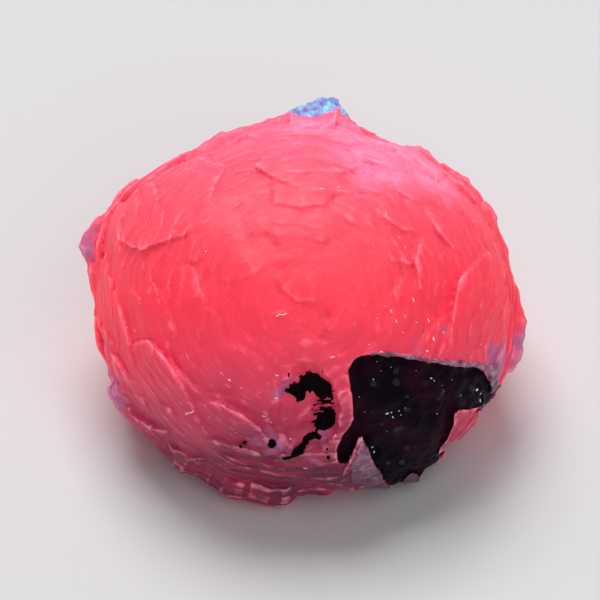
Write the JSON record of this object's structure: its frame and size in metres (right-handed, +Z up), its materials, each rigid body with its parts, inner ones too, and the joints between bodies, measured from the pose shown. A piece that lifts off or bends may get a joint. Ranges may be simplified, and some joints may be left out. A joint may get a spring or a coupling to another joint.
{
  "type": "mineral specimen",
  "caption": "Rounded rosette of overlapping pink calcite plates on a dark rock inclusion, with dark crusts, pale quartz and a flat broken base.",
  "frame": {"origin": "on the flat broken base, under the middle of the ball", "axes": "+Z up from the flat break it rests on, +X to the right across its longest extent, -Y towards the side that the rosette's middle faces"},
  "size_m": [0.07, 0.0585, 0.0505],
  "materials": {
    "calcite": "waxy, slightly translucent coral-pink calcite",
    "dark_rock": "near-black broken rock with small glints",
    "dark_crust": "rough black crust",
    "quartz": "pale lilac-grey glassy quartz",
    "pale_crust": "powdery pale blue-white crust"
  },
  "bodies": {
    "root": {"calcite_rosette": "calcite", "dark_rock": "dark_rock", "dark_crust": "dark_crust", "dark_crust_tail": "dark_crust", "dark_grain": "dark_crust", "quartz_wedge": "quartz", "quartz_rim": "quartz", "quartz_foot": "quartz", "pale_crust": "pale_crust"}
  },
  "joints": []
}
